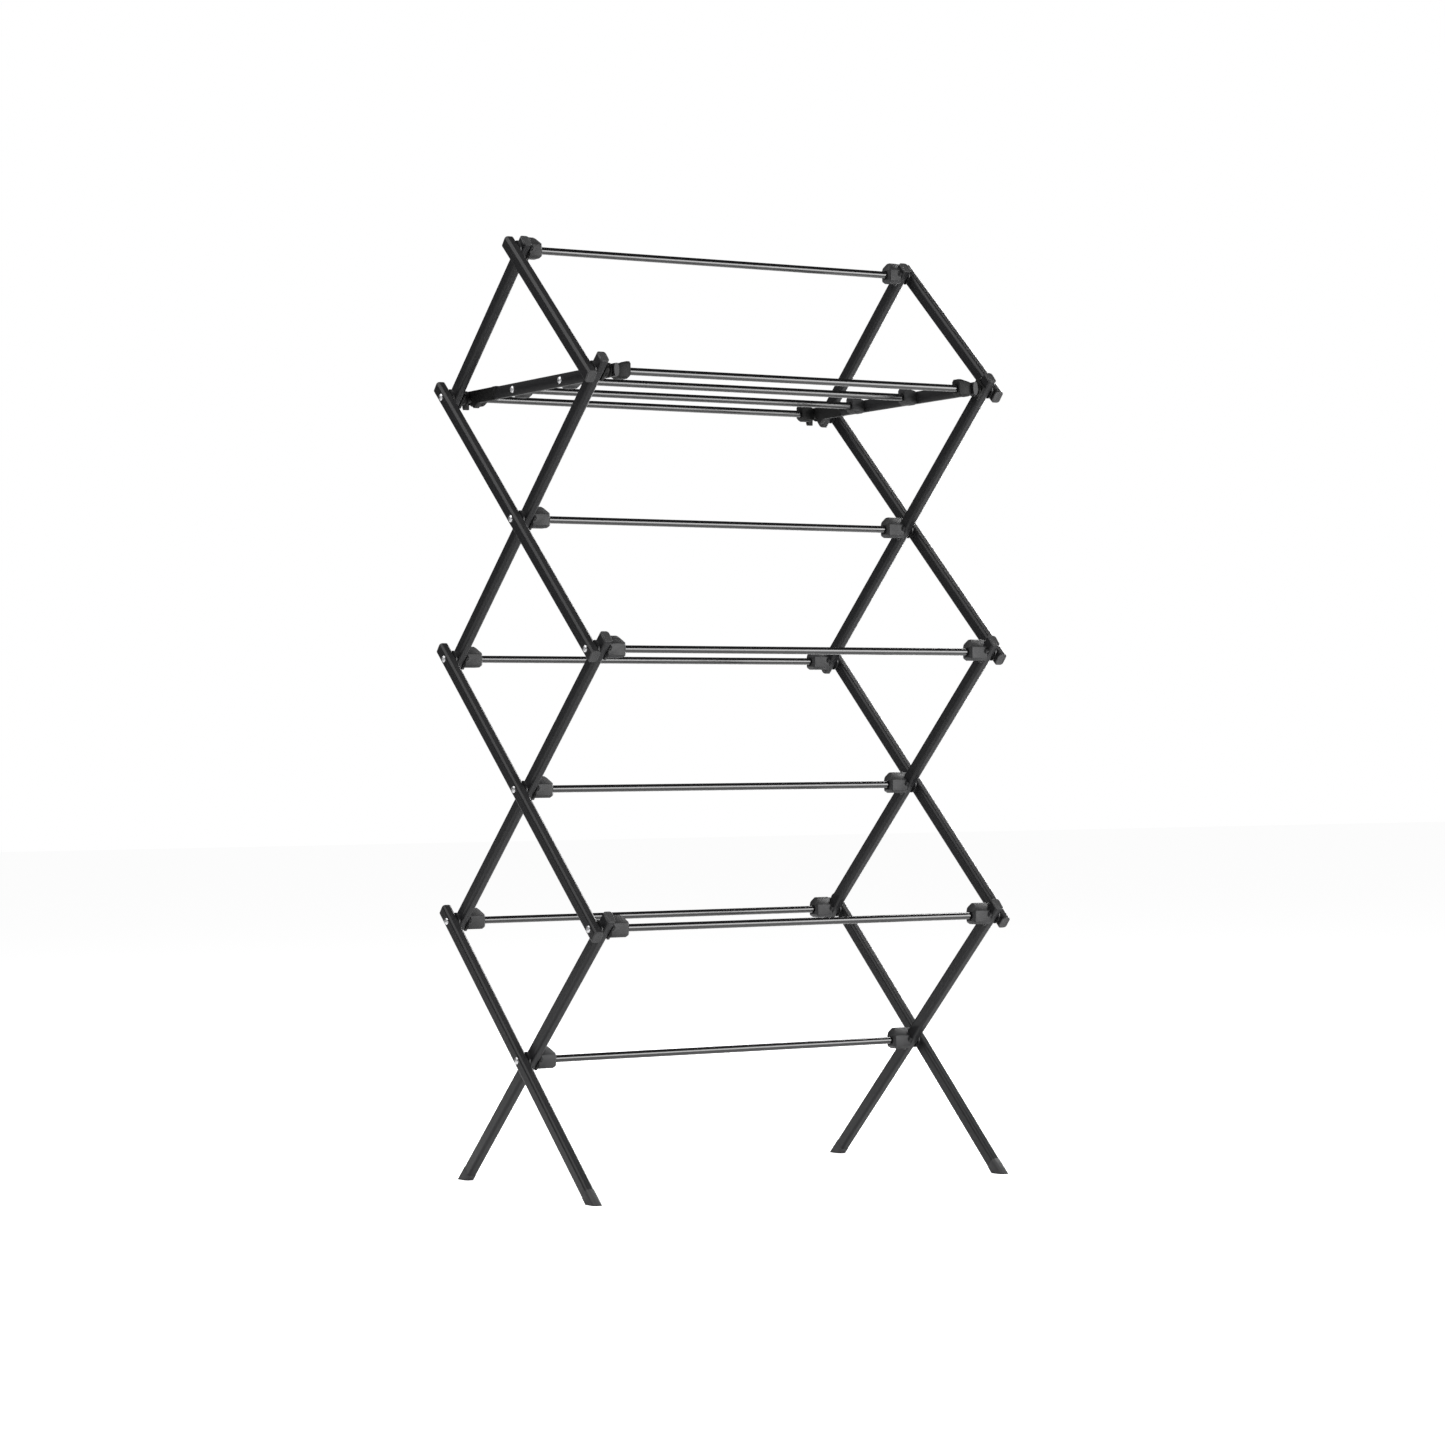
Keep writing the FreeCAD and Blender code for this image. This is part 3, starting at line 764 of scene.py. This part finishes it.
def snap_tab():
    """A U-shaped tongue that straddles the bar's top just where the hook goes in."""
    y0 = PIVOT["back_1"].y / MM - HOOK_LENGTH - TAB_LENGTH + 3
    obj = block("tab", (SHELF_IN / MM - TAB_PROUD, y0, ARM - TAB_DEPTH),
                (SHELF_OUT / MM + TAB_PROUD, y0 + TAB_LENGTH, ARM + TAB_PROUD))
    y1, low = y0 + TAB_LENGTH, ARM - TAB_DEPTH
    corner = [(y0 + 4.5 * (1 - math.cos(t)), low + 4.5 * (1 - math.sin(t))) for t in
              [math.radians(15 * step) for step in range(7)]]
    other = [(2 * y0 + TAB_LENGTH - a, b) for a, b in reversed(corner)]
    saw_outline(obj, corner + other + [(y1, ARM + TAB_PROUD), (y0, ARM + TAB_PROUD)], (1, 2))
    break_edges(obj, 0.4)
    return obj


piece = join([hook(), snap_tab()], "shelf_hook_ends")
only(piece)
piece.location.z = SHELF_Z
bpy.ops.object.transform_apply(location=True, rotation=True, scale=True)
both_sides(piece)
hang(piece, SMOOTH_PLASTIC, "shelf_hooks")

# %% [markdown]
# ## End caps and feet
# Every bar end is closed with a plug whose lid is as wide as the tube and slightly crowned. The bars' feet
# wear short sleeves, cut level with the floor. Both start as a block whose upright edges are rounded to the
# tube's corners; a lid is then crowned by two insets, and a sleeve is leaned with its bar before the floor
# saws it off, so that its sole is flat at any lean.

# %% Tube section and lid
BAR_CORNER = 4.5
END, LONG_END = 18.0, 26.0
CAP = 1.6


def round_uprights(obj, radius, segments=6):
    """Rounds the four edges that run along Z."""
    only(obj)
    bpy.ops.object.mode_set(mode="EDIT")
    bpy.ops.mesh.select_mode(type="EDGE")
    bpy.ops.mesh.select_all(action="DESELECT")
    bpy.ops.object.mode_set(mode="OBJECT")
    points = obj.data.vertices
    for edge in obj.data.edges:
        along = points[edge.vertices[1]].co - points[edge.vertices[0]].co
        edge.select = abs(along.z) > 0.9 * along.length
    bpy.ops.object.mode_set(mode="EDIT")
    bpy.ops.mesh.bevel(offset=radius * MM, segments=segments, affect="EDGES")
    bpy.ops.object.mode_set(mode="OBJECT")


def cap_lid():
    obj = block("lid", (-BAR_THICK / 2, -BAR_WIDTH / 2, END - CAP), (BAR_THICK / 2, BAR_WIDTH / 2, END))
    round_uprights(obj, BAR_CORNER)
    bpy.ops.object.mode_set(mode="EDIT")
    bpy.ops.mesh.select_mode(type="FACE")
    bpy.ops.mesh.select_all(action="DESELECT")
    bpy.ops.object.mode_set(mode="OBJECT")
    for face in obj.data.polygons:
        face.select = face.normal.z > 0.9
    bpy.ops.object.mode_set(mode="EDIT")
    for rim, rise in ((0.5, 0.45), (1.6, 0.25), (0.5, -0.3)):
        bpy.ops.mesh.inset(thickness=rim * MM, depth=rise * MM)
    bpy.ops.object.mode_set(mode="OBJECT")
    break_edges(obj, 0.25)
    return obj


# %% Foot sleeve
SLEEVE_PROUD, SLEEVE_LENGTH = 0.5, 22.0


def foot_sleeve(lean):
    """A sleeve whose bar's axis meets the floor at the origin."""
    x, y = BAR_THICK / 2 + SLEEVE_PROUD, BAR_WIDTH / 2 + SLEEVE_PROUD
    obj = block("sleeve", (-x, -y, -2 * SLEEVE_LENGTH), (x, y, SLEEVE_LENGTH))
    round_uprights(obj, BAR_CORNER + SLEEVE_PROUD)
    obj.rotation_euler.x = lean
    bpy.ops.object.transform_apply(location=True, rotation=True, scale=True)
    saw(obj, Vector((0, 0, 0)), Vector((0, 0, -1)))
    break_edges(obj, 0.6, segments=3)
    return obj


# %% Caps and feet on the bars
BAR_ENDS = {("outer", 1): ("top", "front_1"), ("outer", 2): ("back_1", "front_2"),
            ("outer", 3): ("back_2", "front_3"), ("outer", 4): ("back_3", None),
            ("inner", 1): ("top", "back_1"), ("inner", 2): ("front_1", "back_2"),
            ("inner", 3): ("front_2", "back_3"), ("inner", 4): ("front_3", None)}
MIDDLE = {"outer": (OUTER_INSIDE + OUTER_FACE) / 2, "inner": (INNER_FACE + INNER_OUTSIDE) / 2}
lid = cap_lid()
for (family, number), (upper, lower) in BAR_ENDS.items():
    lean = LEAN if family == "inner" else -LEAN
    middle = Vector((MIDDLE[family], 0, 0))
    extra = (LONG_END - END) * MM if number > 1 else 0.0
    beyond = Vector((0, -math.sin(lean), math.cos(lean))) * extra
    parts = [copy_of(lid, "cap", PIVOT[upper] + middle + beyond, lean)]
    if lower:
        parts.append(copy_of(lid, "cap", PIVOT[lower] + middle, lean + math.pi))
    else:
        sleeve = foot_sleeve(lean)
        foot_y = PIVOT["cross_3"].z * math.tan(lean)
        parts.append(copy_of(sleeve, "foot", middle + Vector((0, foot_y, 0))))
        discard(sleeve)
    piece = join(parts, f"{family}_caps_{number}")
    both_sides(piece)
    hang(piece, CAP_PLASTIC, f"{family}_end_caps_{number}")
discard(lid)

# %% [markdown]
# ## Screws
# The pivots turn on bright screws with low round heads. A head is turned ring by ring like the hubs, then a
# cross recess is sunk with two crossed bars. Each copy is turned to its own angle, because no two screws on a
# real rack stop alike. Two pins per side end inside the outer bar and have no head.

# %% Screw and pin
SHANK, HEAD, HEAD_RISE = 3.0, 5.4, 2.4
HEAD_STEPS = 6


def screw(tip, seat):
    """A screw from its tip to the face that its head sits on."""
    profile = [(tip, SHANK), (seat, SHANK), (seat, HEAD)]
    for step in range(1, HEAD_STEPS):
        angle = math.radians(88) * step / (HEAD_STEPS - 1)
        profile.append((seat + HEAD_RISE * math.sin(angle), HEAD * (0.12 + 0.88 * math.cos(angle))))
    obj = turn("screw", profile, sides=32)
    top = seat + HEAD_RISE
    combine(obj, block("recess", (top - 1.0, -0.4, -2.1), (top + 1, 0.4, 2.1)), "DIFFERENCE")
    combine(obj, block("recess", (top - 1.0, -2.1, -0.4), (top + 1, 2.1, 0.4)), "DIFFERENCE")
    break_edges(obj, 0.12, segments=1, sharpest=40)
    return obj


def pin(tip, end):
    obj = round_bar("pin", SHANK, tip, end, sides=32)
    break_edges(obj, 0.4)
    return obj


# %% Screws on the pivots and the shelf
LATTICE_TIP = FACE - LONG + 9
SCREWED = {1: ("top", "back_1"), 2: ("cross_1", "back_2", "front_1"), 3: ("front_2", "cross_2", "back_3"),
           4: ("front_3", "cross_3")}
TIPS = {"top": FACE - SHORT + 9, "front_1": SHELF_OUT / MM + 1, "back_1": SHELF_OUT / MM + 1}
PINS = ("top", "front_1")
STOP_ANGLE = 37.0

turns = 0
for number, names in SCREWED.items():
    parts = []
    for name in names:
        tip = TIPS.get(name, LATTICE_TIP)
        seat = OUTER_FACE / MM
        master = pin(tip, seat - 2.6) if name in PINS else screw(tip, seat)
        turns += 1
        parts.append(copy_of(master, "screw", PIVOT[name], math.radians(STOP_ANGLE * turns)))
        discard(master)
    piece = join(parts, f"steel_pivot_screws_{number}")
    both_sides(piece)
    hang(piece, STEEL, f"pivot_screws_{number}")

shelf_screw = screw(SHELF_IN / MM - SHELF + 9, SHELF_OUT / MM)
parts = [copy_of(shelf_screw, "screw", rod_axis(f"shelf_rod_{n}"), math.radians(STOP_ANGLE * n))
         for n in (2, 3)]
discard(shelf_screw)
piece = join(parts, "steel_shelf_screws")
both_sides(piece)
hang(piece, STEEL, "shelf_screws")
